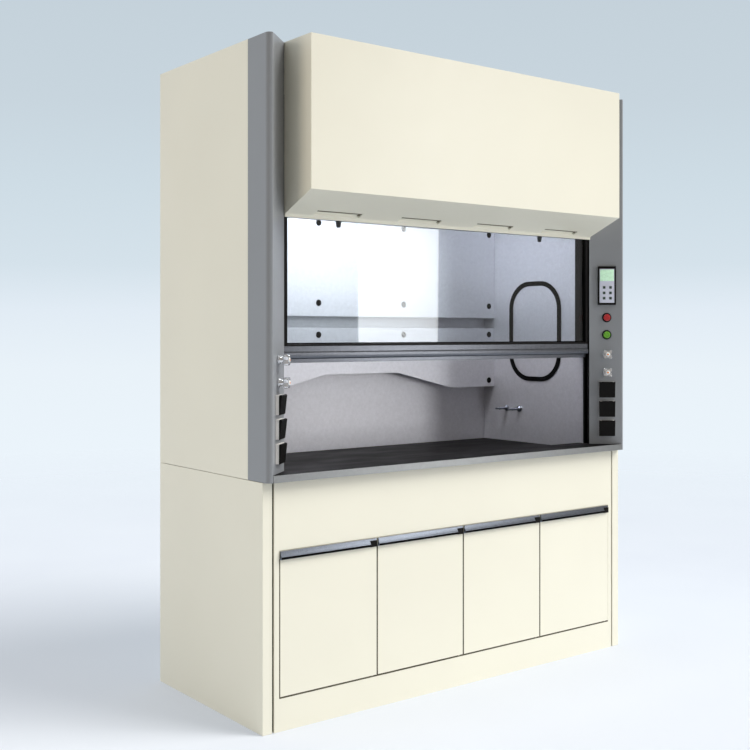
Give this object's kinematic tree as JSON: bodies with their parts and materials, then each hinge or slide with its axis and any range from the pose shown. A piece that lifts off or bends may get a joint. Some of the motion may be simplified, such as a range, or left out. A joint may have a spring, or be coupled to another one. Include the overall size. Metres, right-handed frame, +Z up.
{
  "type": "fume hood",
  "caption": "Walk-up laboratory fume hood with a counterbalanced glass sash, slotted baffles, service controls on slanted posts and a base cabinet with hinged doors.",
  "frame": {"origin": "middle of the footprint on the floor", "axes": "+Z up, -Y towards the user at the sash, +X to the user's right"},
  "size_m": [1.8, 0.86, 2.41],
  "materials": {
    "cream_enamel": "semi-gloss enamel",
    "grey_enamel": "satin enamel",
    "satin_steel": "fine satin",
    "anodised": "satin anodised",
    "dark_anodised": "dark anodised",
    "dark_steel": "satin black",
    "bare_steel": "plain",
    "black_resin": "honed",
    "black_rubber": "matt",
    "black_plastic": "satin",
    "white_plastic": "satin",
    "chrome": "polished",
    "clear_glass": "clear",
    "red_lens": "glossy",
    "green_lens": "glossy"
  },
  "bodies": {
    "cabinet": {"base_side_left": "cream_enamel", "base_side_right": "cream_enamel", "back_panel": "cream_enamel", "base_inner_frame": "cream_enamel", "base_front_frame": "cream_enamel", "worktop": "black_resin", "worktop_front_edge": "anodised", "upper_side_left": "cream_enamel", "upper_side_right": "cream_enamel", "roof_panel": "cream_enamel", "exhaust_collar": "grey_enamel", "front_canopy": "cream_enamel", "post_left": "grey_enamel", "post_right": "grey_enamel", "sash_track_left": "grey_enamel", "sash_track_right": "grey_enamel", "liner_left": "satin_steel", "liner_right": "satin_steel", "liner_back": "satin_steel", "liner_ceiling": "satin_steel", "baffle_upper": "satin_steel", "baffle_lower": "satin_steel", "access_panel": "satin_steel", "access_gasket": "black_rubber", "service_fitting_left": "chrome", "service_fitting_right": "chrome", "sash_stop_bar": "dark_steel", "controller_housing": "black_plastic", "outlet_strip_left": "white_plastic", "outlet_strip_right": "white_plastic", "sash_cable_left": "bare_steel", "sash_cable_right": "bare_steel", "weight_cable_left": "bare_steel", "weight_cable_right": "bare_steel"},
    "sash": {"sash_frame": "dark_anodised", "sash_glass": "clear_glass", "sash_handle_rail": "anodised"},
    "counterweight": {"counterweight": "bare_steel"},
    "front_pulleys": {"front_pulley_shaft": "bare_steel"},
    "rear_pulleys": {"rear_pulley_shaft": "bare_steel"},
    "door_1": {"door_1": "cream_enamel", "door_handle_1": "anodised"},
    "door_2": {"door_2": "cream_enamel", "door_handle_2": "anodised"},
    "door_3": {"door_3": "cream_enamel", "door_handle_3": "anodised"},
    "door_4": {"door_4": "cream_enamel", "door_handle_4": "anodised"},
    "service_knob_left_1": {"service_knob_left_1": "chrome"},
    "service_knob_left_2": {"service_knob_left_2": "chrome"},
    "outlet_lid_left_1": {"outlet_lid_left_1": "black_plastic"},
    "outlet_lid_left_2": {"outlet_lid_left_2": "black_plastic"},
    "outlet_lid_left_3": {"outlet_lid_left_3": "black_plastic"},
    "service_knob_right_1": {"service_knob_right_1": "chrome"},
    "service_knob_right_2": {"service_knob_right_2": "chrome"},
    "outlet_lid_right_1": {"outlet_lid_right_1": "black_plastic"},
    "outlet_lid_right_2": {"outlet_lid_right_2": "black_plastic"},
    "outlet_lid_right_3": {"outlet_lid_right_3": "black_plastic"},
    "stop_button": {"stop_button": "red_lens"},
    "start_button": {"start_button": "green_lens"}
  },
  "joints": [
    {"name": "sash_slide", "type": "slide", "parent": "cabinet", "child": "sash", "axis": [0, 0, 1], "range_m": [-0.366, 0.165], "deforming": ["sash_cable_left", "sash_cable_right"]},
    {"name": "counterweight_slide", "type": "slide", "parent": "cabinet", "child": "counterweight", "axis": [0, 0, 1], "range_m": [-0.165, 0.366], "deforming": ["weight_cable_left", "weight_cable_right"]},
    {"name": "front_pulleys_spin", "type": "hinge", "parent": "cabinet", "child": "front_pulleys", "pos_m": [0, -0.166, 2.28], "axis": [1, 0, 0], "range_deg": [-296, 656]},
    {"name": "rear_pulleys_spin", "type": "hinge", "parent": "cabinet", "child": "rear_pulleys", "pos_m": [0, 0.38, 2.28], "axis": [1, 0, 0], "range_deg": [-296, 656]},
    {"name": "door_1_hinge", "type": "hinge", "parent": "cabinet", "child": "door_1", "pos_m": [-0.4355, -0.315, 0.36], "axis": [0, 0, 1], "range_deg": [0, 95]},
    {"name": "door_2_hinge", "type": "hinge", "parent": "cabinet", "child": "door_2", "pos_m": [-0.0185, -0.315, 0.36], "axis": [0, 0, 1], "range_deg": [0, 95]},
    {"name": "door_3_hinge", "type": "hinge", "parent": "cabinet", "child": "door_3", "pos_m": [0.3985, -0.315, 0.36], "axis": [0, 0, 1], "range_deg": [0, 95]},
    {"name": "door_4_hinge", "type": "hinge", "parent": "cabinet", "child": "door_4", "pos_m": [0.8155, -0.315, 0.36], "axis": [0, 0, 1], "range_deg": [0, 95]},
    {"name": "service_knob_left_1_turn", "type": "hinge", "parent": "cabinet", "child": "service_knob_left_1", "pos_m": [-0.82049, -0.32829, 1.257], "axis": [-0.6626, 0.749, 0], "range_deg": [0, 270]},
    {"name": "service_knob_left_2_turn", "type": "hinge", "parent": "cabinet", "child": "service_knob_left_2", "pos_m": [-0.82049, -0.32829, 1.18], "axis": [-0.6626, 0.749, 0], "range_deg": [0, 270]},
    {"name": "outlet_lid_left_1_hinge", "type": "hinge", "parent": "cabinet", "child": "outlet_lid_left_1", "pos_m": [-0.82228, -0.32627, 1.135], "axis": [-0.749, -0.6626, 0], "range_deg": [0, 85], "stiffness_Nm_per_rad": 0.03, "springref_deg": -34.38},
    {"name": "outlet_lid_left_2_hinge", "type": "hinge", "parent": "cabinet", "child": "outlet_lid_left_2", "pos_m": [-0.82228, -0.32627, 1.0525], "axis": [-0.749, -0.6626, 0], "range_deg": [0, 85], "stiffness_Nm_per_rad": 0.03, "springref_deg": -34.38},
    {"name": "outlet_lid_left_3_hinge", "type": "hinge", "parent": "cabinet", "child": "outlet_lid_left_3", "pos_m": [-0.82228, -0.32627, 0.97], "axis": [-0.749, -0.6626, 0], "range_deg": [0, 85], "stiffness_Nm_per_rad": 0.03, "springref_deg": -34.38},
    {"name": "service_knob_right_1_turn", "type": "hinge", "parent": "cabinet", "child": "service_knob_right_1", "pos_m": [0.82049, -0.32829, 1.257], "axis": [0.6626, 0.749, 0], "range_deg": [0, 270]},
    {"name": "service_knob_right_2_turn", "type": "hinge", "parent": "cabinet", "child": "service_knob_right_2", "pos_m": [0.82049, -0.32829, 1.18], "axis": [0.6626, 0.749, 0], "range_deg": [0, 270]},
    {"name": "outlet_lid_right_1_hinge", "type": "hinge", "parent": "cabinet", "child": "outlet_lid_right_1", "pos_m": [0.82228, -0.32627, 1.135], "axis": [-0.749, 0.6626, 0], "range_deg": [0, 85], "stiffness_Nm_per_rad": 0.03, "springref_deg": -34.38},
    {"name": "outlet_lid_right_2_hinge", "type": "hinge", "parent": "cabinet", "child": "outlet_lid_right_2", "pos_m": [0.82228, -0.32627, 1.0525], "axis": [-0.749, 0.6626, 0], "range_deg": [0, 85], "stiffness_Nm_per_rad": 0.03, "springref_deg": -34.38},
    {"name": "outlet_lid_right_3_hinge", "type": "hinge", "parent": "cabinet", "child": "outlet_lid_right_3", "pos_m": [0.82228, -0.32627, 0.97], "axis": [-0.749, 0.6626, 0], "range_deg": [0, 85], "stiffness_Nm_per_rad": 0.03, "springref_deg": -34.38},
    {"name": "stop_button_press", "type": "slide", "parent": "cabinet", "child": "stop_button", "axis": [0.6626, 0.749, 0], "range_m": [0, 0.003], "stiffness_N_per_m": 1000, "springref_m": -0.002},
    {"name": "start_button_press", "type": "slide", "parent": "cabinet", "child": "start_button", "axis": [0.6626, 0.749, 0], "range_m": [0, 0.003], "stiffness_N_per_m": 1000, "springref_m": -0.002}
  ],
  "couplings": [
    {"joint": "counterweight_slide", "follows": "sash_slide", "ratio": -1},
    {"joint": "front_pulleys_spin", "follows": "sash_slide", "rad_per_m": -31.25},
    {"joint": "rear_pulleys_spin", "follows": "sash_slide", "rad_per_m": -31.25}
  ]
}
